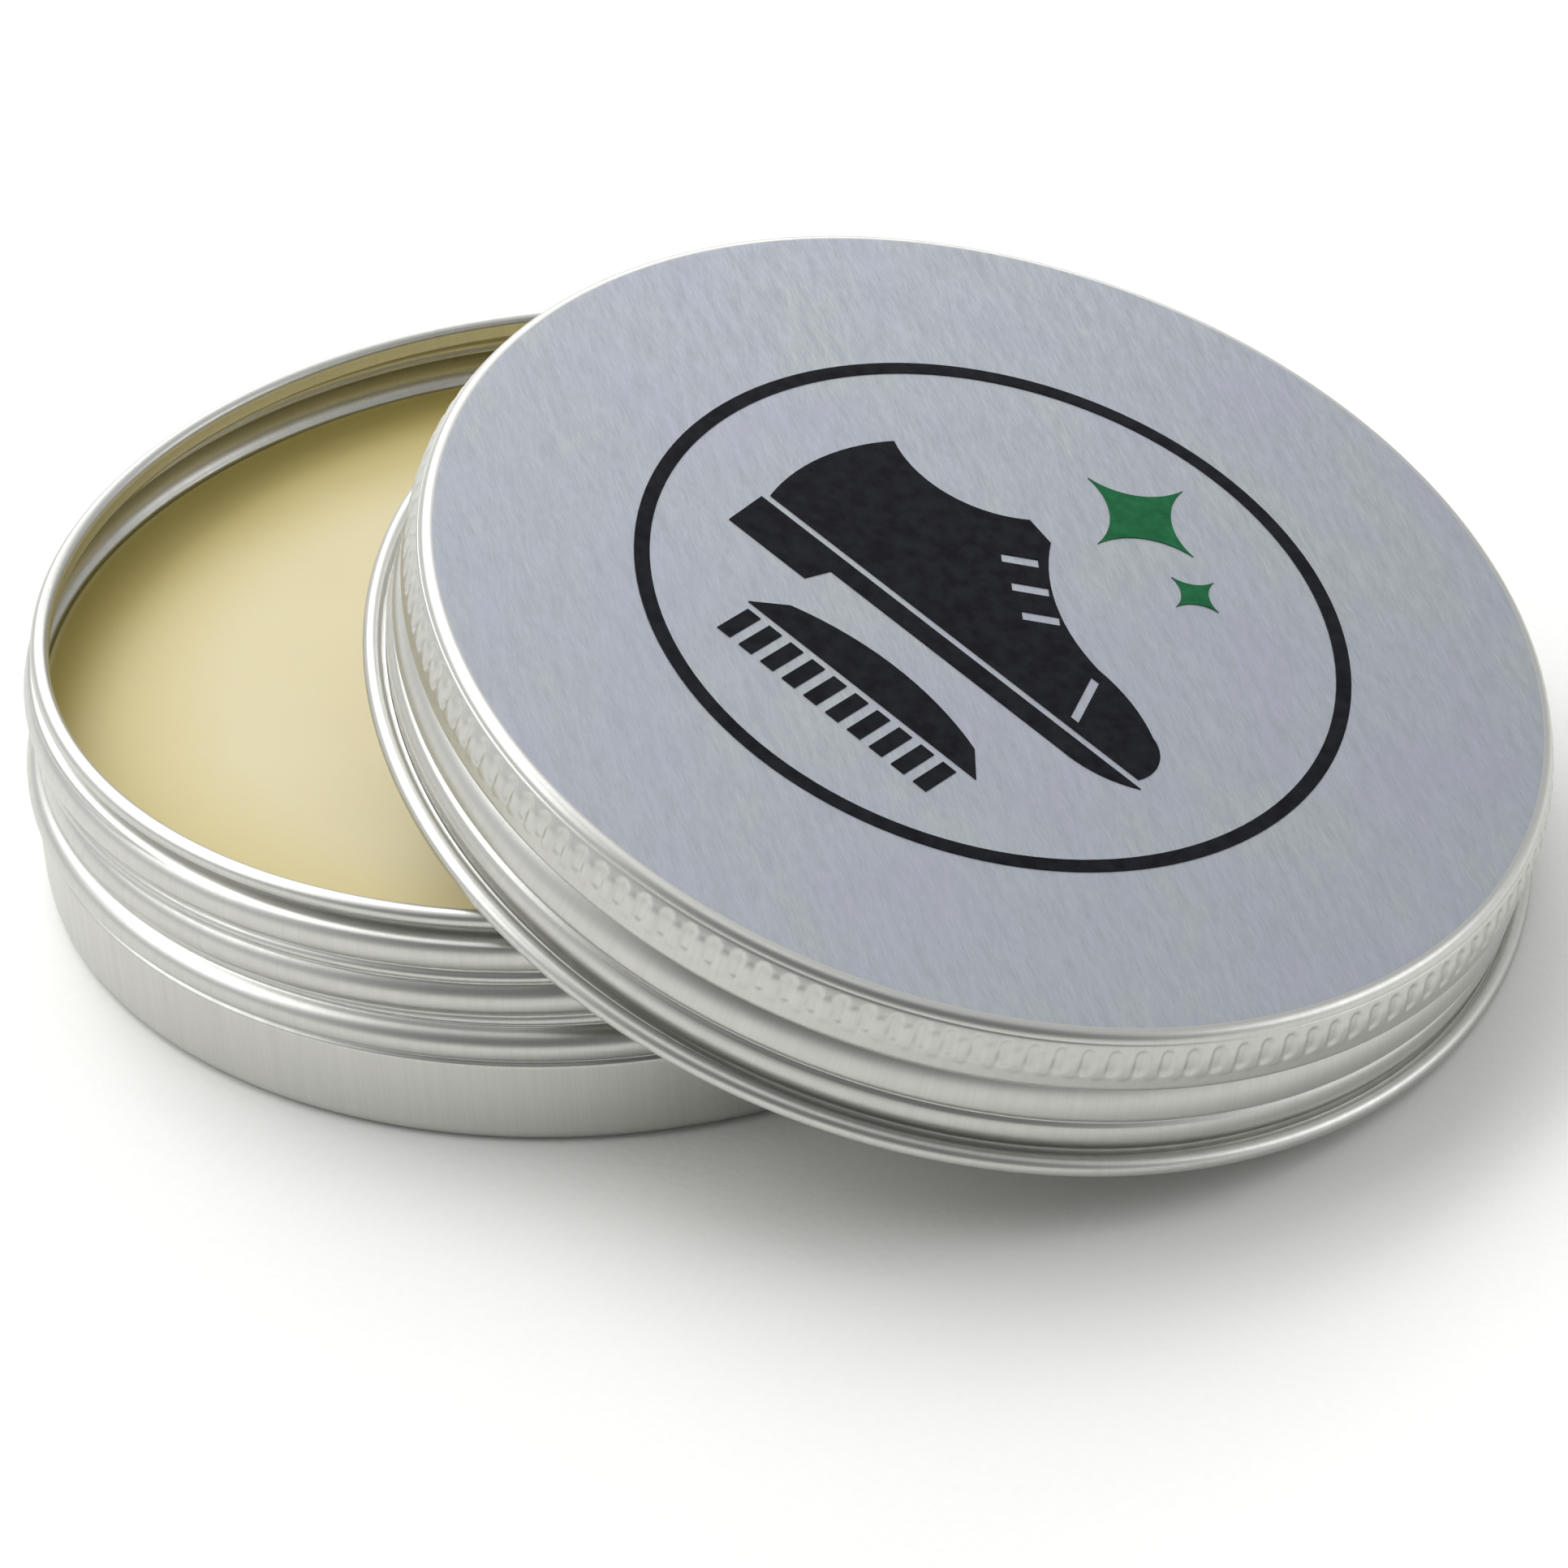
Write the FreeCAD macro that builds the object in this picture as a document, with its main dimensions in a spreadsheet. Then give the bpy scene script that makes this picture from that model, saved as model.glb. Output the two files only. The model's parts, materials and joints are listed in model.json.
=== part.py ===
import FreeCAD, Part
import math
import os

import Sketcher

# Shoe polish tin, open: a drawn aluminium cup holding set wax, and its screw lid leaning
# with the skirt curl on the cup rim and its lowest point on the table.
# Row frame: millimetres, +Z up, origin at the centre of the cup's flat bottom,
# +X towards the side the lid leans down to.

doc = FreeCAD.newDocument("polish_tin")

# ---------------------------------------------------------------- driving sizes

SIZES = {
    # sheet metal shared by both shells
    "gauge": 0.35,
    # cup, heights above the table
    "wall_radius": 41.0,
    "heel_radius": 1.1,
    "wall_top": 6.8,
    "step_radius": 40.85,
    "shoulder_top": 9.55,
    "shoulder_bulge": 1.52,
    "valley_radius": 40.1,
    "low_crest_foot": 10.45,
    "low_crest_head": 12.8,
    "low_crest_bulge": 1.5,
    "high_crest_foot": 14.05,
    "high_crest_head": 16.45,
    "high_crest_bulge": 1.4,
    "neck_radius": 38.95,
    "neck_height": 16.85,
    "rim_circle": 39.2,
    "rim_height": 17.75,
    "rim_tube": 0.65,
    # wax
    "fill_gap": 0.08,
    "fill_height": 12.2,
    "fill_waist": 39.6,
    "fill_ledge": 10.0,
    # lid, heights above the plane of the skirt curl
    "lid_height": 11.8,
    "lid_corner": 0.85,
    "lid_radius": 40.45,
    "knurl_radius": 41.0,
    "knurl_top": 10.5,
    "knurl_foot": 7.7,
    "bead_radius": 40.6,
    "bead_top": 7.3,
    "bead_foot": 4.1,
    "bead_bulge": 3.4,
    "skirt_radius": 40.85,
    "skirt_top": 3.75,
    "skirt_foot": 1.85,
    "skirt_bulge": 1.6,
    "flare_radius": 41.3,
    "flare_height": 1.2,
    "flare_end": 0.6,
    "curl_circle": 41.7,
    "curl_tube": 0.7,
    "flute_count": 140,
    "flute_radius": 0.6,
    "flute_depth": 0.12,
    # liner
    "liner_radius": 39.7,
    "liner_thick": 2.4,
    "liner_base": 8.95,
    # lid placement
    "lid_offset": 29.1,
    "lid_raise": 13.09,
    "lid_tilt": 18.2,
    "print_turn": -15.3,
    # print
    "ink_depth": 0.06,
    "ring_radius": 25.6,
    "ring_width": 1.1,
    "upper_base": -5.0,
    "sole_top": -5.6,
    "sole_low": -7.3,
    "heel_low": -9.4,
    "brush_top": -12.4,
    "brush_base": -14.6,
    "bristle_top": -15.2,
    "bristle_low": -18.4,
    "bristle_width": 1.2,
    "star_height": 16.5,
    "star_reach": 5.0,
    "star_arc": 5.6,
    "spark_across": 7.6,
    "spark_height": 13.4,
    "spark_reach": 2.2,
    "spark_arc": 2.5,
}

sheet = doc.addObject("Spreadsheet::Sheet", "dims")
for row, (alias, number) in enumerate(SIZES.items(), 1):
    sheet.set("A%d" % row, alias)
    sheet.set("B%d" % row, str(number))
    sheet.setAlias("B%d" % row, alias)
doc.recompute()


def amount(text):
    """Value of a sum of sheet names and numbers such as 'wall_radius - gauge'."""
    total, sign = 0.0, 1.0
    for word in text.split():
        if word in ("+", "-"):
            sign = 1.0 if word == "+" else -1.0
        else:
            total += sign * (SIZES[word] if word in SIZES else float(word))
    return total


def formula(text):
    """The same sum written for the expression engine."""
    return " ".join("dims." + word if word in SIZES else word for word in text.split())


# ---------------------------------------------------------------- sketch helpers


def plane_of(body, role):
    return [f for f in body.Origin.OriginFeatures if f.Role == role][0]


def new_sketch(body, name, role, height=None):
    sketch = body.newObject("Sketcher::SketchObject", name)
    sketch.AttachmentSupport = [(plane_of(body, role), "")]
    sketch.MapMode = "FlatFace"
    if height:
        sketch.AttachmentOffset.Base.z = amount(height)
        sketch.setExpression("AttachmentOffset.Base.z", formula(height))
    return sketch


def bind(sketch, kind, refs, text):
    """A dimension whose value comes from the sheet."""
    index = sketch.addConstraint(Sketcher.Constraint(kind, *refs, amount(text)))
    sketch.setExpression("Constraints[%d]" % index, formula(text))


def arc_through(start, end, radius, side):
    """Circle centre for an arc from start to end, bulging to the right (side 1) or left (-1)."""
    dx, dy = end[0] - start[0], end[1] - start[1]
    chord = math.hypot(dx, dy)
    rise = math.sqrt(max(radius * radius - chord * chord / 4, 0.0))
    return (
        (start[0] + end[0]) / 2 - side * dy / chord * rise,
        (start[1] + end[1]) / 2 + side * dx / chord * rise,
    )


def loop(sketch, corners):
    """Closed outline. Each corner is (across, up) or (across, up, radius, side) when the
    run to the next corner is an arc; every size is a sum of sheet names."""
    spots = [(amount(c[0]), amount(c[1])) for c in corners]
    ends = []
    for i, corner in enumerate(corners):
        a, b = spots[i], spots[(i + 1) % len(spots)]
        if len(corner) == 2:
            g = sketch.addGeometry(
                Part.LineSegment(FreeCAD.Vector(*a, 0), FreeCAD.Vector(*b, 0)), False
            )
            ends.append((g, 1, 2))
            continue
        radius, side = amount(corner[2]), corner[3]
        centre = arc_through(a, b, radius, side)
        first, last = (a, b) if side > 0 else (b, a)
        angles = [math.atan2(p[1] - centre[1], p[0] - centre[0]) for p in (first, last)]
        track = Part.Circle(FreeCAD.Vector(*centre, 0), FreeCAD.Vector(0, 0, 1), radius)
        g = sketch.addGeometry(Part.ArcOfCircle(track, *angles), False)
        ends.append((g, 1, 2) if side > 0 else (g, 2, 1))
    for i, (g, first, last) in enumerate(ends):
        h, start, _ = ends[(i + 1) % len(ends)]
        sketch.addConstraint(Sketcher.Constraint("Coincident", g, last, h, start))
    for corner, spot, (g, first, _) in zip(corners, spots, ends):
        for kind, text, value, axis in (
            ("DistanceX", corner[0], spot[0], -2),
            ("DistanceY", corner[1], spot[1], -1),
        ):
            if value == 0:
                sketch.addConstraint(Sketcher.Constraint("PointOnObject", g, first, axis))
            else:
                bind(sketch, kind, (-1, 1, g, first), text)
        if len(corner) == 4:
            bind(sketch, "Radius", (g,), corner[2])


def circle(sketch, across, up, radius):
    """Circle at a sheet position."""
    spot = FreeCAD.Vector(amount(across), amount(up), 0)
    g = sketch.addGeometry(Part.Circle(spot, FreeCAD.Vector(0, 0, 1), amount(radius)), False)
    for kind, text, value, axis in (
        ("DistanceX", across, spot.x, -2),
        ("DistanceY", up, spot.y, -1),
    ):
        if value == 0:
            sketch.addConstraint(Sketcher.Constraint("PointOnObject", g, 3, axis))
        else:
            bind(sketch, kind, (-1, 1, g, 3), text)
    bind(sketch, "Radius", (g,), radius)


def curl_section(sketch, across, up, tube, opening, width):
    """Open C section of a rolled edge: outer and inner arcs joined across the slot."""
    centre = FreeCAD.Vector(amount(across), amount(up), 0)
    begin, finish = math.radians(opening + width / 2), math.radians(opening - width / 2)
    arcs = []
    for radius in (amount(tube), amount(tube + " - gauge")):
        ring = Part.Circle(centre, FreeCAD.Vector(0, 0, 1), radius)
        arcs.append(sketch.addGeometry(Part.ArcOfCircle(ring, begin, finish + 2 * math.pi), False))
    outer, inner = arcs
    caps = []
    for angle in (begin, finish):
        way = FreeCAD.Vector(math.cos(angle), math.sin(angle), 0)
        caps.append(
            sketch.addGeometry(
                Part.LineSegment(centre + way * amount(tube), centre + way * amount(tube + " - gauge")),
                False,
            )
        )
    for cap, end in zip(caps, (1, 2)):
        sketch.addConstraint(Sketcher.Constraint("Coincident", outer, end, cap, 1))
        sketch.addConstraint(Sketcher.Constraint("Coincident", cap, 2, inner, end))
        direction = opening + width / 2 if end == 1 else opening - width / 2
        sketch.addConstraint(Sketcher.Constraint("Angle", cap, math.radians(direction - 180)))
    sketch.addConstraint(Sketcher.Constraint("Coincident", outer, 3, inner, 3))
    bind(sketch, "DistanceX", (-1, 1, outer, 3), across)
    bind(sketch, "DistanceY", (-1, 1, outer, 3), up)
    bind(sketch, "Radius", (outer,), tube)
    bind(sketch, "Radius", (inner,), tube + " - gauge")


def revolve(body, sketch, name):
    feature = body.newObject("PartDesign::Revolution", name)
    feature.Profile = sketch
    feature.ReferenceAxis = (sketch, ["V_Axis"])
    feature.Angle = 360
    body.Tip = feature
    return feature


def pad(body, sketch, name, length):
    feature = body.newObject("PartDesign::Pad", name)
    feature.Profile = sketch
    feature.Length = amount(length)
    feature.setExpression("Length", formula(length))
    body.Tip = feature
    return feature


def new_body(name):
    body = doc.addObject("PartDesign::Body", name)
    body.Label = name
    body.AllowCompound = True
    return body


def lean(body, turn=None):
    """Put a lid piece, drawn about its own axis, into the leaning pose."""
    tilt = FreeCAD.Rotation(FreeCAD.Vector(0, 1, 0), SIZES["lid_tilt"])
    spin = FreeCAD.Rotation(FreeCAD.Vector(0, 0, 1), amount(turn) if turn else 0)
    at = FreeCAD.Vector(SIZES["lid_offset"], 0, SIZES["lid_raise"])
    body.Placement = FreeCAD.Placement(at, tilt * spin)
    body.setExpression("Placement.Base.x", "dims.lid_offset")
    body.setExpression("Placement.Base.z", "dims.lid_raise")


# ---------------------------------------------------------------- base_cup

cup = new_body("base_cup")
wall = new_sketch(cup, "cup_wall", "XZ_Plane")
outside = [
    ("0", "0"),
    ("wall_radius - heel_radius", "0", "heel_radius", 1),
    ("wall_radius", "heel_radius"),
    ("wall_radius", "wall_top"),
    ("step_radius", "wall_top + 0.15", "shoulder_bulge", 1),
    ("valley_radius + 0.3", "shoulder_top"),
    ("valley_radius", "low_crest_foot", "low_crest_bulge", 1),
    ("valley_radius", "low_crest_head"),
    ("valley_radius", "high_crest_foot", "high_crest_bulge", 1),
    ("valley_radius - 0.5", "high_crest_head"),
    ("neck_radius", "neck_height"),
    ("neck_radius", "rim_height"),
]


def inside_of(corners):
    """The same run moved in by one sheet gauge, walked back down."""
    back = []
    for i in range(len(corners) - 1, 0, -1):
        here, before = corners[i], corners[i - 1]
        spot = (here[0] + " - gauge", here[1])
        back.append(spot if len(before) == 2 else spot + (before[2], -before[3]))
    return back


floor_corner = ("wall_radius - heel_radius - gauge", "gauge")
inside = inside_of(outside[2:])
inside.append(("wall_radius - gauge", "heel_radius", "heel_radius - gauge", -1))
inside += [("wall_radius - heel_radius", "gauge"), ("0", "gauge")]
loop(wall, outside + inside)
revolve(cup, wall, "cup_shell")
rim = new_sketch(cup, "cup_rim", "XZ_Plane")
curl_section(rim, "rim_circle", "rim_height", "rim_tube", 262, 26)
revolve(cup, rim, "cup_curl")

# ---------------------------------------------------------------- polish

polish = new_body("polish")
fill = new_sketch(polish, "fill_section", "XZ_Plane")
loop(
    fill,
    [
        ("0", "gauge + fill_gap"),
        ("wall_radius - heel_radius", "gauge + fill_gap"),
        ("wall_radius - gauge - fill_gap", "heel_radius"),
        ("wall_radius - gauge - fill_gap", "wall_top - 0.3"),
        ("step_radius - gauge - fill_gap", "wall_top - 0.2"),
        ("step_radius - gauge - fill_gap", "shoulder_top - 1.2"),
        ("fill_waist", "fill_ledge"),
        ("fill_waist", "fill_height"),
        ("0", "fill_height"),
    ],
)
revolve(polish, fill, "fill_body")

# ---------------------------------------------------------------- lid_shell

shell = new_body("lid_shell")
skirt = new_sketch(shell, "lid_section", "XZ_Plane")
outside = [
    ("lid_radius", "lid_height - lid_corner"),
    ("knurl_radius - 0.1", "knurl_top"),
    ("knurl_radius", "knurl_foot"),
    ("bead_radius", "bead_top", "bead_bulge", -1),
    ("bead_radius", "bead_foot"),
    ("skirt_radius", "skirt_top", "skirt_bulge", -1),
    ("skirt_radius", "skirt_foot"),
    ("flare_radius", "flare_height"),
    ("flare_radius", "flare_end"),
]
inside = inside_of(outside)
loop(
    skirt,
    [("0", "lid_height"), ("lid_radius - lid_corner", "lid_height", "lid_corner", -1)]
    + outside
    + inside
    + [
        ("lid_radius - gauge", "lid_height - lid_corner", "lid_corner - gauge", 1),
        ("lid_radius - lid_corner", "lid_height - gauge"),
        ("0", "lid_height - gauge"),
    ],
)
revolve(shell, skirt, "lid_pressing")
hem = new_sketch(shell, "lid_hem", "XZ_Plane")
curl_section(hem, "curl_circle", "curl_tube", "curl_tube", 112, 30)
revolve(shell, hem, "lid_curl")
flute = new_sketch(shell, "flute_section", "XY_Plane", "knurl_foot + 0.5")
circle(flute, "knurl_radius + flute_radius - flute_depth", "0", "flute_radius")
cut = shell.newObject("PartDesign::Pocket", "flute")
cut.Profile = flute
cut.Reversed = True
cut.Length = amount("knurl_top - knurl_foot - 0.65")
cut.setExpression("Length", formula("knurl_top - knurl_foot - 0.65"))
flutes = shell.newObject("PartDesign::PolarPattern", "flutes")
flutes.Originals = [cut]
flutes.Axis = (flute, ["N_Axis"])
flutes.Angle = 360
flutes.Occurrences = int(SIZES["flute_count"])
flutes.setExpression("Occurrences", "dims.flute_count")
shell.Tip = flutes
lean(shell)

# ---------------------------------------------------------------- lid_liner

liner = new_body("lid_liner")
wad = new_sketch(liner, "liner_outline", "XY_Plane", "liner_base")
circle(wad, "0", "0", "liner_radius")
pad(liner, wad, "liner_disc", "liner_thick")
lean(liner)

# ---------------------------------------------------------------- print_black


def ink(body, name, outlines):
    """A thin printed patch on the lid top: outlines drawn flat, padded by the ink depth."""
    patch = new_sketch(body, name + "_outline", "XY_Plane", "lid_height")
    for outline in outlines:
        loop(patch, outline)
    pad(body, patch, name, "ink_depth")


black = new_body("print_black")
ring = new_sketch(black, "ring_outline", "XY_Plane", "lid_height")
circle(ring, "0", "0", "ring_radius")
circle(ring, "0", "0", "ring_radius - ring_width")
pad(black, ring, "ring", "ink_depth")
shoe_upper = [
    ("-17", "upper_base"),
    ("17.2", "upper_base", "3.2", 1),
    ("15.2", "-0.9", "14", 1),
    ("8.5", "1.2", "16", -1),
    ("-2", "8.6"),
    ("-4.5", "9.2", "9", -1),
    ("-15.8", "7.2", "16", 1),
]
laces = [
    [
        ("%s" % x, "%s" % y),
        ("%s" % (x + 0.6), "%s" % (y - 0.6)),
        ("%s" % (x + 2.6), "%s" % (y + 1.2)),
        ("%s" % (x + 2.0), "%s" % (y + 1.8)),
    ]
    for x, y in ((-3.4, 4.6), (-1.0, 2.9), (1.4, 1.2))
]
toe_seam = [("10.4", "-4.2"), ("11.1", "-4.2"), ("9.4", "0.2"), ("8.7", "0.2")]
ink(black, "shoe_upper", [shoe_upper, toe_seam] + laces)
sole = [
    ("-17.3", "sole_top"),
    ("-17", "heel_low"),
    ("-9.8", "heel_low"),
    ("-9.2", "sole_low"),
    ("12", "sole_low", "9", 1),
    ("17.9", "sole_top"),
]
ink(black, "shoe_sole", [sole])
brush_back = [
    ("-10.5", "brush_base"),
    ("10.5", "brush_base"),
    ("8.5", "brush_top", "24", 1),
    ("-8.5", "brush_top"),
]
bristles = [
    [
        ("%s" % x, "bristle_low"),
        ("%s + bristle_width" % x, "bristle_low"),
        ("%s + bristle_width" % x, "bristle_top"),
        ("%s" % x, "bristle_top"),
    ]
    for x in range(-10, 9, 2)
]
ink(black, "brush", [brush_back] + bristles)
lean(black, "print_turn")

# ---------------------------------------------------------------- print_green

green = new_body("print_green")


def star(across, up, reach, arc):
    """Four-pointed star with hollow sides."""
    tips = (
        (across + " + " + reach, up),
        (across, up + " + " + reach),
        (across + " - " + reach, up),
        (across, up + " - " + reach),
    )
    return [tip + (arc, -1) for tip in tips]


ink(
    green,
    "stars",
    [
        star("0", "star_height", "star_reach", "star_arc"),
        star("spark_across", "spark_height", "spark_reach", "spark_arc"),
    ],
)
lean(green, "print_turn")

# ---------------------------------------------------------------- write the pieces

doc.recompute()
pieces = [cup, polish, shell, liner, black, green]
for item in doc.Objects:
    if {"Invalid", "Error"} & set(item.State):
        raise RuntimeError("%s is %s" % (item.Name, item.State))
os.makedirs("parts", exist_ok=True)
for piece in pieces:
    if not piece.Shape.isValid():
        raise RuntimeError("%s has a bad shape" % piece.Label)
    piece.Shape.exportStep("parts/%s.step" % piece.Label)
    print(piece.Label, round(piece.Shape.Volume, 1), piece.Shape.BoundBox)
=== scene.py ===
"""Open shoe polish tin: the look of the drawn cup, its wax, the leaning lid and its liner."""
import json
import math

import bpy
import numpy as np
from mathutils import Matrix, Vector


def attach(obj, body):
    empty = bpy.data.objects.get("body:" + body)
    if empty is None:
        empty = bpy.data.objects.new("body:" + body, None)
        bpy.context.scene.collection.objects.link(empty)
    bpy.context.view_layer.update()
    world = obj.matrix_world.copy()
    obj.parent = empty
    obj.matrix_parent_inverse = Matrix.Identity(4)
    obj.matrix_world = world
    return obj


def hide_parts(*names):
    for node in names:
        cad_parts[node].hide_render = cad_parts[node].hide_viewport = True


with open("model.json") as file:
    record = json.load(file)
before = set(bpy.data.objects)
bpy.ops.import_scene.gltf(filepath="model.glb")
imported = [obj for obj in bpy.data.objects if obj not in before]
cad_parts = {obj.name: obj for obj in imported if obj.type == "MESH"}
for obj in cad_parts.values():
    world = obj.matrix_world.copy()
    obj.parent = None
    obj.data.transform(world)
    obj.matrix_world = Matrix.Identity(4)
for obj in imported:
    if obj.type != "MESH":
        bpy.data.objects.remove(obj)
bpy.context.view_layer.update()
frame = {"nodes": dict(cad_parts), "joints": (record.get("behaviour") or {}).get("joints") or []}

# Sections are in millimetres: (distance from the piece's own axis, height).
MM = 0.001
TURN = 2 * math.pi
GAUGE = 0.35

# The lid is modelled about its own axis and placed by its joint.
lid_joint = [j for j in frame["joints"] if j["name"] == "lid_turn"][0]
lid_axis = Vector(lid_joint["axis"]).normalized()
LID_PLACE = Matrix.Translation(Vector(lid_joint["pos_m"])) @ Matrix.Rotation(
    math.atan2(lid_axis.x, lid_axis.z), 4, "Y"
)

# ---------------------------------------------------------------- mesh tools

# Radius, in mm, of the circle on which the "flow" attribute goes round every piece.
FLOW_R = 41.0


def angles(count):
    return np.arange(count) * TURN / count


def arc(across, up, radius, start, end, steps):
    """Points on a circle in the section plane, angles in degrees."""
    turn = np.radians(np.linspace(start, end, steps + 1))
    return [(across + radius * math.cos(a), up + radius * math.sin(a)) for a in turn]


def bow(start, end, rise, steps):
    """Points on an arc from start to end that bulges to the right of the way by rise."""
    dx, dy = end[0] - start[0], end[1] - start[1]
    chord = math.hypot(dx, dy)
    radius = (chord * chord / 4 + rise * rise) / (2 * abs(rise))
    points = []
    for k in range(steps + 1):
        t = k / steps
        along = (t - 0.5) * chord
        out = math.sqrt(max(radius * radius - along * along, 0)) - (radius - abs(rise))
        out = math.copysign(out, rise)
        points.append((start[0] + dx * t + dy / chord * out, start[1] + dy * t - dx / chord * out))
    return points


def rows_of(count, points):
    """Rows of a plain turned section."""
    return [(count, np.full(count, r), np.full(count, z)) for r, z in points]


def smooth(t):
    t = np.clip(t, 0, 1)
    return t * t * (3 - 2 * t)


def wobble(a, seed, waves, size):
    """A closed run of small uneven waves round the circle."""
    rng = np.random.default_rng(seed)
    total = np.zeros_like(a)
    for n in waves:
        total += rng.normal() * np.sin(n * a + rng.uniform(0, TURN))
    return total * size / math.sqrt(len(waves))


def band_faces(a, low, b, high):
    """Faces between a ring of low points from index a and one of high points from index b."""
    if low == high:
        return [(a + i, a + (i + 1) % low, b + (i + 1) % low, b + i) for i in range(low)]
    if low == 1:
        return [(a, b + (i + 1) % high, b + i) for i in range(high)]
    if high == 1:
        return [(a + i, a + (i + 1) % low, b) for i in range(low)]
    widens = high > low
    few, many = min(low, high), max(low, high)
    coarse, fine = (a, b) if widens else (b, a)
    step = many // few
    mid = step // 2
    faces = []
    for i in range(few):
        near, far = coarse + i, coarse + (i + 1) % few
        ring = [fine + (i * step + m) % many for m in range(step + 1)]
        part = [(near, ring[m + 1], ring[m]) for m in range(mid)]
        part.append((near, far, ring[mid]))
        part += [(far, ring[m + 1], ring[m]) for m in range(mid, step)]
        faces += part if widens else [face[::-1] for face in part]
    return faces


def lathe(name, rows, marks=None, place=Matrix.Identity(4)):
    """Skin rows of points round the Z axis. A row is (count, radii, heights); a count of 1
    is a point on the axis, and neighbouring rows may differ by a whole factor. A mark is the
    material index of the faces that follow its row. The attribute "flow" holds the place round
    the circle and the length along the section, in mm."""
    points, flows = [], []
    length, last = 0.0, None
    for count, radii, heights in rows:
        a = angles(count)
        spot = np.array([np.mean(radii), np.mean(heights)])
        length += 0 if last is None else float(np.hypot(*(spot - last)))
        last = spot
        points.append(np.stack([radii * np.cos(a), radii * np.sin(a), heights + 0 * a], -1))
        flows.append(np.stack([FLOW_R * np.cos(a), FLOW_R * np.sin(a), length + 0 * a], -1))
    counts = [row[0] for row in rows]
    starts = np.cumsum([0] + counts).tolist()
    faces, paints = [], []
    for k in range(len(rows) - 1):
        band = band_faces(starts[k], counts[k], starts[k + 1], counts[k + 1])
        faces += band
        paints += [marks[k] if marks else 0] * len(band)
    mesh = bpy.data.meshes.new(name)
    mesh.from_pydata((np.concatenate(points) * MM).tolist(), [], faces)
    mesh.polygons.foreach_set("use_smooth", [True] * len(faces))
    mesh.polygons.foreach_set("material_index", paints)
    flow = mesh.attributes.new("flow", "FLOAT_VECTOR", "POINT")
    flow.data.foreach_set("vector", np.concatenate(flows).astype(np.float32).ravel())
    mesh.update()
    piece = bpy.data.objects.new(name, mesh)
    piece.matrix_world = place
    bpy.context.scene.collection.objects.link(piece)
    return piece


# ---------------------------------------------------------------- cup

CUP_COUNT = 480
COARSE_COUNT = CUP_COUNT // 4
WALL_R, FOOT_TUBE = 41.0, 1.1
SHOULDER_FOOT, SHOULDER_HEAD, SHOULDER_RISE = (40.76, 6.98), (40.35, 9.45), 0.8
VALLEY = 40.1
NECK = 38.95
NECK_FOOT, NECK_HEAD = 16.35, 16.8
THREAD_START = math.radians(-157)
THREAD_TURNS = 1.35
THREAD_FOOT, THREAD_PITCH = 10.77, 3.75
THREAD_HALF, THREAD_RISE = 1.3, 0.62
THREAD_FADE = math.radians(40)
# The small ridges stand half a pitch below and above the thread.
RIDGE_HALF, RIDGE_RISE = 0.45, 0.3
CURL_AT, CURL_TUBE = (39.22, 17.75), 0.65


def thread_rise(a, z):
    """Height of the rolled thread over the valley, at angle a and height z."""
    radius = (THREAD_HALF**2 + THREAD_RISE**2) / (2 * THREAD_RISE)
    rise = np.zeros_like(a)
    for lap in range(math.ceil(THREAD_TURNS)):
        way = (a - THREAD_START) % TURN + TURN * lap
        fade = smooth(way / THREAD_FADE) * smooth((THREAD_TURNS * TURN - way) / THREAD_FADE)
        off = z - (THREAD_FOOT + THREAD_PITCH * way / TURN)
        hump = np.sqrt(np.maximum(radius**2 - off**2, 0)) - (radius - THREAD_RISE)
        rise += fade * np.maximum(hump, 0)
        for side in (-0.5, 0.5):
            ridge = 1 - (abs(off + side * THREAD_PITCH) / RIDGE_HALF) ** 2
            rise += fade * RIDGE_RISE / 2 * np.maximum(ridge, 0)
    return rise


def cup_wall(a, z):
    """Outside radius of the threaded zone."""
    drop = smooth((z - NECK_FOOT) / (NECK_HEAD - NECK_FOOT))
    return VALLEY - (VALLEY - NECK) * drop + thread_rise(a, z)


def thread_rows(heights, inset=0.0):
    a = angles(CUP_COUNT)
    return [(CUP_COUNT, cup_wall(a, z) - inset, np.full(CUP_COUNT, z)) for z in heights]


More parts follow.
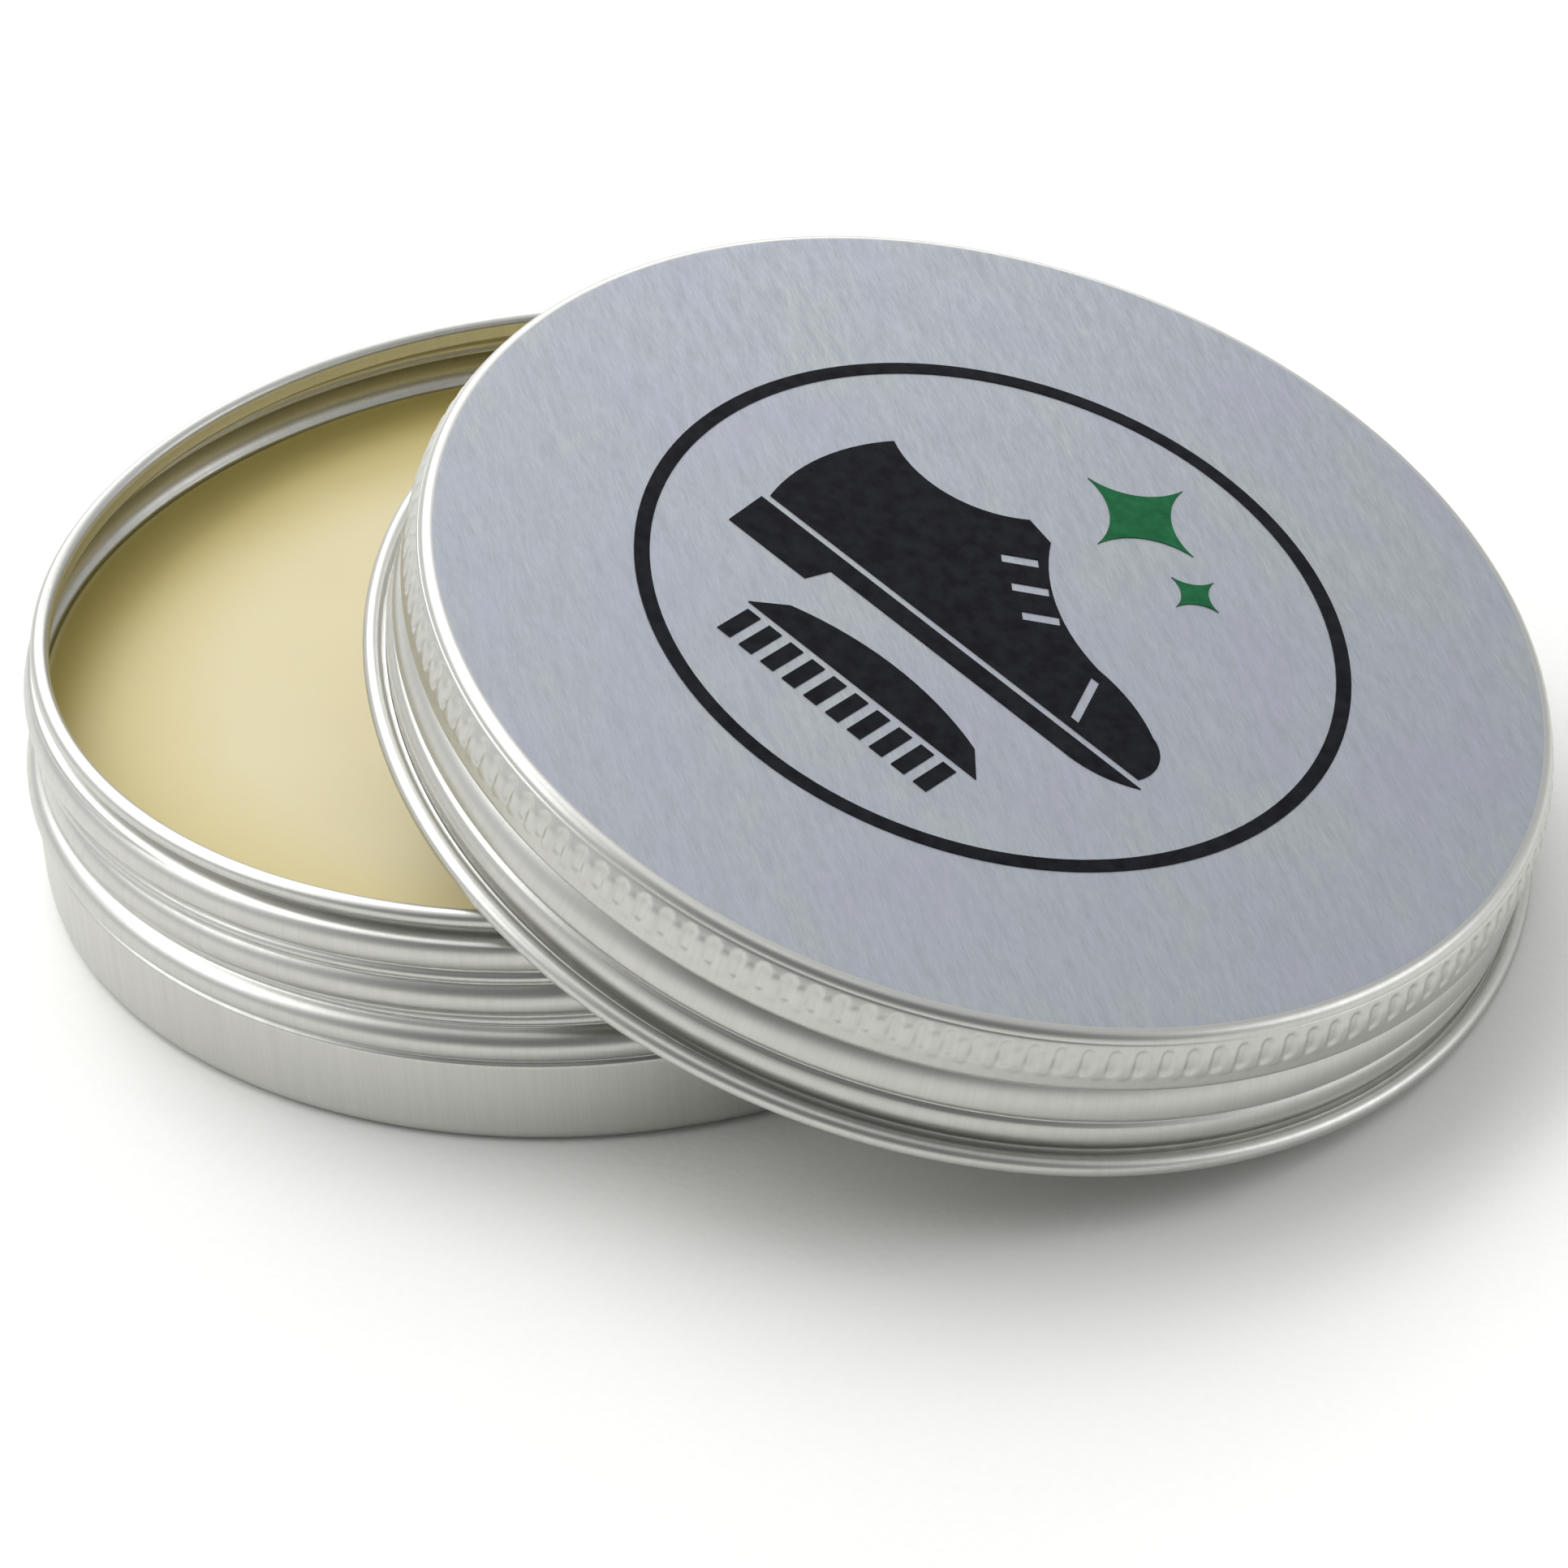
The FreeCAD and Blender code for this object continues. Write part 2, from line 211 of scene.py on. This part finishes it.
def cup_rows():
    """From the middle of the underside, up the outside, over the rim and down the inside."""
    rows = rows_of(1, [(0, 0)]) + rows_of(COARSE_COUNT, [(20, 0), (38, 0)])
    rows += rows_of(
        CUP_COUNT,
        [(39.7, 0)]
        + arc(WALL_R - FOOT_TUBE, FOOT_TUBE, FOOT_TUBE, -90, 0, 8)
        + [(WALL_R, z) for z in (1.3, 3, 5, 6.4, 6.62)]
        + [(40.98, 6.72), (40.9, 6.8), (40.78, 6.86), (40.74, 6.92)]
        + bow(SHOULDER_FOOT, SHOULDER_HEAD, SHOULDER_RISE, 22)
        + [(40.25, 9.52), (40.16, 9.6)],
    )
    rows += thread_rows(np.arange(9.7, 16.85, 0.1))
    curl = arc(*CURL_AT, CURL_TUBE, -80, 180, 26)
    rows += rows_of(CUP_COUNT, [(NECK, 16.9), (NECK, 17.05)] + curl)
    rows += rows_of(CUP_COUNT, [(NECK - GAUGE, 17.6), (NECK - GAUGE, 16.95)])
    rows += thread_rows(np.arange(16.8, 12.0, -0.12), GAUGE)
    rows += thread_rows((11.8, 11.2, 10.6, 10.0), GAUGE)
    rows += rows_of(CUP_COUNT, bow((40.0, 9.45), (40.4, 6.98), -SHOULDER_RISE, 6))
    rows += rows_of(CUP_COUNT, [(40.6, 6.6), (40.65, 4), (40.65, 1.2), (40.4, 0.6), (39.9, GAUGE)])
    return rows + rows_of(COARSE_COUNT, [(30, GAUGE)]) + rows_of(1, [(0, GAUGE)])


cup = lathe("cup_shell", cup_rows())
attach(cup, "cup")
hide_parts("base_cup")

# ---------------------------------------------------------------- wax

FILL = 12.15
WAX_FOOT = 0.45
WAX_EDGE = FILL + 0.2
WAX_GAP = 0.02
# Where the wax creeps up the wall: (distance from the wall, height over the fill).
CREEP = ((0.03, 0.29), (0.1, 0.22), (0.22, 0.13), (0.4, 0.07), (0.8, 0.03), (1.6, 0.01))


def wax_rows():
    """From the middle of the underside, up the wall and in over the top."""
    rows = rows_of(1, [(0, WAX_FOOT)])
    rows += rows_of(CUP_COUNT, [(39.6, WAX_FOOT), (40.5, 1.0), (40.5, 6.5), (39.8, 9.4)])
    rows += thread_rows((10.0, 10.6, 11.0, 11.4, 11.8, 12.1, WAX_EDGE), GAUGE + WAX_GAP)
    a = angles(CUP_COUNT)
    edge = cup_wall(a, WAX_EDGE) - GAUGE - WAX_GAP
    lift = wobble(a, 3, (2, 3, 5, 9, 14), 0.03)
    for inset, up in CREEP:
        rows.append((CUP_COUNT, edge - inset, FILL + up + lift * up * 3))
    rows += rows_of(CUP_COUNT, [(36, FILL), (33, FILL - 0.01)])
    rows += rows_of(COARSE_COUNT, [(26, FILL - 0.03), (18, FILL - 0.05), (9, FILL - 0.06)])
    return rows + rows_of(1, [(0, FILL - 0.06)])


wax = lathe("wax_fill", wax_rows())
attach(wax, "cup")
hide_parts("polish")

# ---------------------------------------------------------------- lid

FLUTES = 140
LID_COUNT, KNURL_COUNT = 3 * FLUTES, 12 * FLUTES
LID_TOP = 11.8
LID_R, CORNER = 40.472, 0.872
KNURL_R, KNURL_DROP, KNURL_HEAD, KNURL_BEND = 41.0, 0.5, 11.08, 8.8
KNURL_PITCH = TURN * KNURL_R / FLUTES
# Hollows reach up between pads that reach down: (place in the pitch, foot, head, rise).
KNURL_PATCHES = ((0.25, 8.7, 10.65, -0.14), (0.75, 8.3, 10.25, 0.05))
PATCH_REACH, PATCH_MARGIN, PATCH_SOFT = KNURL_PITCH * 0.25, 0.1, 0.22
BEAD_FOOT, BEAD_R, BEAD_PEAK, BEAD_TOP = 3.85, 40.6, (41.04, 4.6), (40.35, 6.75)
SKIRT_FOOT, SKIRT_HEAD, SKIRT_R, SKIRT_RISE = 1.5, 3.5, 40.82, 0.26
HEM_AT, HEM_TUBE = (41.68, 0.7), 0.7
# The skirt draws in from the hem's lip on one side, which opens the slit between them there.
LIP_FOOT = 0.96
GAP_AT, GAP_DEPTH = math.radians(205), 0.22
BARE, FACE = 0, 1


def knurl_wall(a, z):
    """Outside radius of the knurled band, whose hollows and pads are both round ended."""
    part = (a * FLUTES / TURN) % 1
    lean = np.clip((z - KNURL_BEND) / (KNURL_HEAD - KNURL_BEND), 0, 1) ** 2
    wall = KNURL_R - KNURL_DROP * lean
    for centre, foot, head, rise in KNURL_PATCHES:
        across = ((part - centre + 0.5) % 1 - 0.5) * KNURL_PITCH
        up = np.clip(z, foot + PATCH_REACH, head - PATCH_REACH)
        away = np.hypot(across, z - up)
        wall = wall + rise * smooth((PATCH_REACH + PATCH_MARGIN - away) / PATCH_SOFT)
    return wall


def skirt_line(inset, steps):
    """Section from the skirt's foot to the knurl: a plain band, a groove and a broad bead."""
    band = bow((SKIRT_R, SKIRT_FOOT), (SKIRT_R, SKIRT_HEAD), SKIRT_RISE, steps)
    crease = [(40.72, 3.6), (40.62, 3.68), (40.57, 3.77)]
    bead = bow((BEAD_R, BEAD_FOOT), BEAD_PEAK, 0.12, steps // 2)
    bead += bow(BEAD_PEAK, BEAD_TOP, 0.18, steps)[1:]
    step = [(40.36, 6.84), (40.46, 6.93), (40.64, 7.02), (40.84, 7.14), (40.96, 7.3)]
    return [(r - inset, z) for r, z in band + crease + bead + step]


def lid_inside():
    """From the middle of the inner face, down the skirt's inside."""
    under = LID_TOP - GAUGE
    rows = rows_of(1, [(0, under)]) + rows_of(FLUTES, [(25, under)])
    turned = arc(LID_R - CORNER, LID_TOP - CORNER, CORNER - GAUGE, 90, 30, 5)
    wall = [(40.2, 10.9), (40.35, 10.5), (40.55, 9.8), (40.65, 8.8), (40.65, 7.9)]
    rows += rows_of(LID_COUNT, turned + wall + skirt_line(GAUGE, 4)[::-1])
    return rows + rows_of(LID_COUNT, [(40.5, 1.4), (40.6, 1.0), (40.78, 0.82)])


def lid_hem():
    """Round the rolled hem to its ragged lip, then back up the slit to the skirt's foot."""
    rows = rows_of(LID_COUNT, arc(*HEM_AT, HEM_TUBE, 175, 488, 26))
    a = angles(LID_COUNT)
    ragged = wobble(a, 11, range(60, 150, 7), 0.018) + wobble(a, 5, (1, 2, 3), 0.05)
    for across, up in ((41.2, 1.2), (41.17, 1.1), (41.15, LIP_FOOT)):
        rows.append((LID_COUNT, across + ragged, np.full(LID_COUNT, up)))
    gap = GAP_DEPTH * smooth(1.5 * np.cos(a - GAP_AT) - 0.2)
    slit = ((41.05, LIP_FOOT), (41.0, 1.05), (40.95, 1.16), (40.91, 1.27), (40.86, 1.4))
    for across, up in slit:
        share = (SKIRT_FOOT - up) / (SKIRT_FOOT - LIP_FOOT)
        rows.append((LID_COUNT, across - gap * share, np.full(LID_COUNT, up)))
    return rows


def lid_outside():
    """Up the skirt, the knurl and its shoulder, to the head of the rounded corner."""
    rows = rows_of(LID_COUNT, skirt_line(0, 20))
    a = angles(KNURL_COUNT)
    for z in np.arange(7.5, 11.05, 0.18):
        rows.append((KNURL_COUNT, knurl_wall(a, z), np.full(KNURL_COUNT, z)))
    shoulder = [(40.51, 11.05), (40.48, 11.08), (40.455, 11.09)]
    return rows + rows_of(LID_COUNT, shoulder + lid_corner()[:-1])


def lid_corner():
    return arc(LID_R - CORNER, LID_TOP - CORNER, CORNER, 12, 90, 14)


def lid_disc():
    """From the corner's head to the middle of the top."""
    rows = rows_of(LID_COUNT, lid_corner()[-1:] + [(39.2, LID_TOP), (36, LID_TOP)])
    return rows + rows_of(FLUTES, [(20, LID_TOP)]) + rows_of(1, [(0, LID_TOP)])


bare_rows = lid_inside() + lid_hem() + lid_outside()
face_rows = lid_disc()
lid_marks = [BARE] * len(bare_rows) + [FACE] * len(face_rows)
shell = lathe("lid_pressing", bare_rows + face_rows, lid_marks, LID_PLACE)
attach(shell, "lid")
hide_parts("lid_shell")

# ---------------------------------------------------------------- liner

LINER_R, LINER_LOW, LINER_HIGH = 39.5, 8.95, 11.3
LINER_EDGE_LOW, LINER_EDGE_HIGH = 0.15, 0.12
# The pressed ring near the edge: (radius, height over the lower face).
LINER_RING = ((38.2, 0), (38.4, 0.04), (38.6, 0.15), (38.9, 0.22), (39.2, 0.2), (39.42, 0.1))


def liner_rows():
    """From the middle of the lower face, round the edge, to the middle of the upper face."""
    rows = rows_of(1, [(0, LINER_LOW)]) + rows_of(FLUTES, [(30, LINER_LOW)])
    low, high = LINER_EDGE_LOW, LINER_EDGE_HIGH
    rows += rows_of(
        LID_COUNT,
        [(r, LINER_LOW + up) for r, up in LINER_RING]
        + arc(LINER_R - low, LINER_LOW + 0.2, low, -60, 0, 4)
        + [(LINER_R, 10.2)]
        + arc(LINER_R - high, LINER_HIGH - high, high, 0, 90, 4),
    )
    return rows + rows_of(1, [(0, LINER_HIGH)])


liner = lathe("foam_liner", liner_rows(), None, LID_PLACE)
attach(liner, "liner")
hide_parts("lid_liner")

# ---------------------------------------------------------------- materials


class Paint:
    """A material with its Principled shader, and short ways to add texture nodes."""

    def __init__(self, name, **values):
        self.material = bpy.data.materials.new(name)
        self.material.use_nodes = True
        self.tree = self.material.node_tree
        self.shader = self.tree.nodes["Principled BSDF"]
        for key, value in values.items():
            self.shader.inputs[key.replace("_", " ")].default_value = value
        self.where = self.add("ShaderNodeTexCoord").outputs["Object"]

    def add(self, kind, links=(), **settings):
        """Add a node; links pairs each input with an output to link or a value to set."""
        node = self.tree.nodes.new(kind)
        for key, value in settings.items():
            setattr(node, key, value)
        for slot, source in links:
            if hasattr(source, "is_output"):
                self.tree.links.new(source, node.inputs[slot])
            else:
                node.inputs[slot].default_value = source
        return node

    def feed(self, slot, source):
        self.tree.links.new(source, self.shader.inputs[slot])

    def grain(self, scale, turn=0.0, detail=3.0, rough=0.55, warp=0.0):
        """Noise stretched by a scale per metre on each axis, after a turn about Z."""
        turned = self.add("ShaderNodeMapping", [(0, self.where), ("Rotation", (0, 0, -turn))])
        sized = self.add("ShaderNodeMapping", [(0, turned.outputs[0]), ("Scale", scale)])
        noise = self.add(
            "ShaderNodeTexNoise",
            [(0, sized.outputs[0]), ("Scale", 1.0), ("Detail", detail), ("Roughness", rough)]
            + [("Distortion", warp)],
        )
        return noise.outputs[0]

    def lines(self, flow, scale, detail):
        """Noise on the flow coordinates, stretched by a scale per millimetre."""
        sized = self.add("ShaderNodeMapping", [(0, flow), ("Scale", scale)])
        links = [(0, sized.outputs[0]), ("Scale", 1.0), ("Detail", detail)]
        return self.add("ShaderNodeTexNoise", links).outputs[0]

    def ramp(self, source, low, high, start=0.0, end=1.0):
        """Map source from low..high to start..end."""
        links = [(0, source), (1, low), (2, high), (3, start), (4, end)]
        return self.add("ShaderNodeMapRange", links).outputs[0]

    def spread(self, noise, half, start=0.0, end=1.0):
        """Map the middle of a noise, half to each side of its mean, to start..end."""
        return self.ramp(noise, 0.5 - half, 0.5 + half, start, end)

    def mix(self, share, first, second):
        links = [(0, share), (6, first), (7, second)]
        return self.add("ShaderNodeMix", links, data_type="RGBA").outputs[2]

    def calculate(self, operation, *sources):
        node = self.add("ShaderNodeMath", list(enumerate(sources)), operation=operation)
        return node.outputs[0]

    def weigh(self, *parts):
        """Sum of sources, each times its weight."""
        terms = [self.calculate("MULTIPLY", source, weight) for source, weight in parts]
        total = terms[0]
        for term in terms[1:]:
            total = self.calculate("ADD", total, term)
        return total

    def bump(self, height, distance, under=None):
        links = [("Height", height), ("Distance", distance), ("Strength", 1.0)]
        if under is not None:
            links.append(("Normal", under))
        return self.add("ShaderNodeBump", links).outputs[0]

    def wear(self, thing):
        """Put the material in the first slot and leave the faces' own indices alone."""
        if thing.data.materials:
            thing.data.materials[0] = self.material
        else:
            thing.data.materials.append(self.material)


SHEET_TONE, SHEET_DARK, SHEET_ROUGH = (0.585, 0.585, 0.552, 1), (0.54, 0.54, 0.51, 1), 0.36
# Painted reflection: the disc colours are darker and bluer than the drawn sheet, standing in for
# the dim cool room the top reflects; the mottle between them is the sheet's own.
DISC_MOTTLE_REFLECTION_TONES = ((0.46, 0.475, 0.555, 1), (0.475, 0.51, 0.52, 1))
DISC_DARK, DISC_ROUGH = (0.37, 0.39, 0.425, 1), 0.42
DISC_TURN = math.radians(133.5)
WAX_TONES = ((0.575, 0.50, 0.275, 1), (0.61, 0.545, 0.33, 1))
# Painted shade: the deeper golden tone of the wax near the wall.
WAX_SHADE_TONE = (0.54, 0.435, 0.12, 1)
# Painted shade: between these radii, in metres, the wax turns a deeper golden that stands in for
# the rim's shade and the light the wax bounces there.
WAX_SHADE_RADII = (0.026, 0.0398)
FOAM_TONES = ((0.70, 0.70, 0.68, 1), (0.86, 0.86, 0.84, 1))


def drawn_sheet(name):
    """Bare drawn sheet: hairlines that run up the wall, and a broad soft mottle."""
    paint = Paint(name, Metallic=1.0)
    flow = paint.add("ShaderNodeAttribute", attribute_name="flow").outputs["Vector"]
    fine = paint.lines(flow, (5.5, 5.5, 0.12), 3.0)
    broad = paint.lines(flow, (1.2, 1.2, 0.08), 2.0)
    cloud = paint.grain((60, 60, 60), detail=2.0)
    share = paint.weigh((fine, 0.45), (broad, 0.3), (cloud, 0.25))
    paint.feed("Base Color", paint.mix(paint.spread(share, 0.15), SHEET_DARK, SHEET_TONE))
    rough = paint.spread(share, 0.15, SHEET_ROUGH + 0.04, SHEET_ROUGH - 0.03)
    paint.feed("Roughness", rough)
    paint.feed("Normal", paint.bump(fine, 1.5e-7))
    return paint


def rolled_sheet():
    """Flat rolled sheet: short fine scratches one way over a pale and a dark mottle, in darker,
    bluer tones that hold a painted reflection.
    """
    paint = Paint("rolled_aluminium", Metallic=1.0)
    hair = paint.grain((1000, 6500, 1000), DISC_TURN, detail=3.0, rough=0.6)
    streak = paint.grain((260, 1400, 260), DISC_TURN, detail=2.0, warp=0.3)
    cloud = paint.grain((70, 110, 70), DISC_TURN, detail=3.0, warp=0.6)
    share = paint.weigh((hair, 0.55), (streak, 0.45))
    # Random mottle between two tones that also carry the painted reflection's darker, bluer cast.
    base = paint.mix(paint.spread(cloud, 0.15), *DISC_MOTTLE_REFLECTION_TONES)
    paint.feed("Base Color", paint.mix(paint.spread(share, 0.14), DISC_DARK, base))
    paint.feed("Roughness", paint.spread(share, 0.2, DISC_ROUGH + 0.06, DISC_ROUGH - 0.06))
    paint.feed("Normal", paint.bump(hair, 1.2e-6))
    return paint


def shoe_wax():
    """Set wax: cream with a cloudy tone, painted shade that turns it golden towards the rim, and a
    slightly uneven skin.
    """
    paint = Paint("shoe_wax", Roughness=0.4, Subsurface_Weight=0.3, Subsurface_Scale=0.002)
    paint.shader.inputs["Subsurface Radius"].default_value = (1.0, 0.75, 0.35)
    links = [(0, paint.where), (1, (1, 1, 0))]
    level = paint.add("ShaderNodeVectorMath", links, operation="MULTIPLY").outputs[0]
    reach = paint.add("ShaderNodeVectorMath", [(0, level)], operation="LENGTH").outputs["Value"]
    cloud = paint.grain((45, 45, 45), detail=2.0)
    # Painted shade: the share of the golden tone, rising towards the wall.
    shade_share = paint.ramp(reach, *WAX_SHADE_RADII)
    tone = paint.mix(paint.spread(cloud, 0.2), *WAX_TONES)
    paint.feed("Base Color", paint.mix(shade_share, tone, WAX_SHADE_TONE))
    fine = paint.grain((1500, 1500, 1500), detail=4.0)
    broad = paint.grain((160, 160, 160), detail=2.0)
    paint.feed("Roughness", paint.spread(cloud, 0.2, 0.36, 0.46))
    paint.feed("Normal", paint.bump(fine, 3e-6, paint.bump(broad, 4e-5)))
    return paint


def white_foam():
    """Closed-cell foam: pale cells with darker walls."""
    paint = Paint("white_foam", Roughness=0.7)
    cells = paint.add("ShaderNodeTexVoronoi", [(0, paint.where), ("Scale", 2600.0)]).outputs[0]
    paint.feed("Base Color", paint.mix(paint.ramp(cells, 0.0, 0.6), *FOAM_TONES))
    paint.feed("Normal", paint.bump(cells, 4e-5))
    return paint


def ink(name, tone, dark):
    """Screen-print ink: a thin satin film with a little mottle."""
    paint = Paint(name, Specular_IOR_Level=0.04)
    mottle = paint.grain((900, 900, 900), detail=4.0)
    paint.feed("Base Color", paint.mix(paint.spread(mottle, 0.15), dark, tone))
    paint.feed("Roughness", paint.spread(mottle, 0.15, 0.34, 0.46))
    paint.feed("Normal", paint.bump(paint.grain((5200, 5200, 5200)), 2e-6))
    return paint


drawn_sheet("drawn_aluminium").wear(cup)
drawn_sheet("pressed_aluminium").wear(shell)
shell.data.materials.append(rolled_sheet().material)
shoe_wax().wear(wax)
white_foam().wear(liner)
black = ink("black_ink", (0.012, 0.013, 0.017, 1), (0.006, 0.006, 0.009, 1))
green = ink("green_ink", (0.016, 0.13, 0.05, 1), (0.010, 0.09, 0.035, 1))
black.wear(frame["nodes"]["print_black"])
green.wear(frame["nodes"]["print_green"])

# ---------------------------------------------------------------- floor

FLOOR_HALF = 6.0
FLOOR_TONES = ((0.87, 0.87, 0.84, 1), (0.91, 0.91, 0.885, 1))

floor_mesh = bpy.data.meshes.new("floor")
corners = [(x * FLOOR_HALF, y * FLOOR_HALF, 0) for x, y in ((-1, -1), (1, -1), (1, 1), (-1, 1))]
floor_mesh.from_pydata(corners, [], [(0, 1, 2, 3)])
floor = bpy.data.objects.new("floor", floor_mesh)
bpy.context.scene.collection.objects.link(floor)
paper = Paint("pale_floor", Roughness=0.75)
pulp = paper.grain((1400, 1400, 1400), detail=3.0)
paper.feed("Base Color", paper.mix(pulp, *FLOOR_TONES))
paper.feed("Normal", paper.bump(pulp, 3e-5))
paper.wear(floor)

# ---------------------------------------------------------------- light

# The room is evenly bright but for a dim part in front of the tin.
DIM_WAY = (0.425, -0.80, 0.42)
ROOM_EDGE = (0.5, 0.85)
ROOM_TONES = ((0.655, 0.66, 0.675, 1), (0.19, 0.19, 0.195, 1))
# The softboxes look at this point from this far off, in metres.
LIGHT_AIM, LIGHT_DISTANCE = (0.015, 0, 0.01), 1.0
# Azimuth and elevation in degrees, the size of the box in metres, power in watts.
SOFTBOXES = {
    "key": (160, 46, (0.65, 0.6), 3.5),
    "key_high": (150, 64, (0.7, 0.6), 2.2),
    "back": (118, 25, (0.9, 0.4), 2.2),
    "left": (208, 40, (0.6, 0.6), 2.5),
    "right": (20, 22, (0.6, 0.4), 1.4),
    "front": (-62, 68, (0.6, 0.5), 0.6),
}


def light_room():
    world = bpy.data.worlds.new("studio")
    world.use_nodes = True
    sky = world.node_tree
    where = sky.nodes.new("ShaderNodeTexCoord")
    toward = sky.nodes.new("ShaderNodeVectorMath")
    share = sky.nodes.new("ShaderNodeMapRange")
    blend = sky.nodes.new("ShaderNodeMix")
    toward.operation = "DOT_PRODUCT"
    toward.inputs[1].default_value = DIM_WAY
    share.interpolation_type = "SMOOTHSTEP"
    share.inputs[1].default_value, share.inputs[2].default_value = ROOM_EDGE
    blend.data_type = "RGBA"
    blend.inputs[6].default_value, blend.inputs[7].default_value = ROOM_TONES
    sky.links.new(where.outputs["Generated"], toward.inputs[0])
    sky.links.new(toward.outputs["Value"], share.inputs[0])
    sky.links.new(share.outputs[0], blend.inputs[0])
    sky.links.new(blend.outputs[2], sky.nodes["Background"].inputs[0])
    bpy.context.scene.world = world


def softbox(name, azimuth, elevation, size, power):
    """An area light that looks at the tin, placed by its direction from the tin."""
    data = bpy.data.lights.new(name, "AREA")
    data.shape = "RECTANGLE"
    data.size, data.size_y = size
    data.energy = power
    lamp = bpy.data.objects.new(name, data)
    az, el = math.radians(azimuth), math.radians(elevation)
    way = Vector((math.cos(az) * math.cos(el), math.sin(az) * math.cos(el), math.sin(el)))
    lamp.location = Vector(LIGHT_AIM) + way * LIGHT_DISTANCE
    lamp.rotation_euler = way.to_track_quat("Z", "Y").to_euler()
    bpy.context.scene.collection.objects.link(lamp)


light_room()
for box_name, settings in SOFTBOXES.items():
    softbox(box_name, *settings)
bpy.context.scene.view_settings.view_transform = "Standard"

# ---------------------------------------------------------------- camera

# The viewing direction in the row's frame: heading about Z, then pitch down, then roll.
CAMERA_AT = (0.17280, -0.29677, 0.24342)
FOCAL_PIXELS, FRAME_PIXELS = 7018.8, 1932
PITCH, ROLL, HEADING = 0.6177, -0.0700, math.radians(27.96)


def place_camera():
    across, ahead = math.cos(HEADING), math.sin(HEADING)
    level = Vector((across, ahead, 0))
    flat = math.cos(PITCH)
    forward = Vector((-ahead * flat, across * flat, -math.sin(PITCH)))
    right = math.cos(ROLL) * level + math.sin(ROLL) * level.cross(forward)
    upward = right.cross(forward)
    data = bpy.data.cameras.new("camera")
    data.sensor_width = 36
    data.lens = FOCAL_PIXELS / FRAME_PIXELS * data.sensor_width
    data.clip_start, data.clip_end = 0.01, 50
    camera = bpy.data.objects.new("camera", data)
    turned = Matrix((right, upward, -forward)).transposed().to_4x4()
    camera.matrix_world = Matrix.Translation(CAMERA_AT) @ turned
    bpy.context.scene.collection.objects.link(camera)
    bpy.context.scene.camera = camera


place_camera()
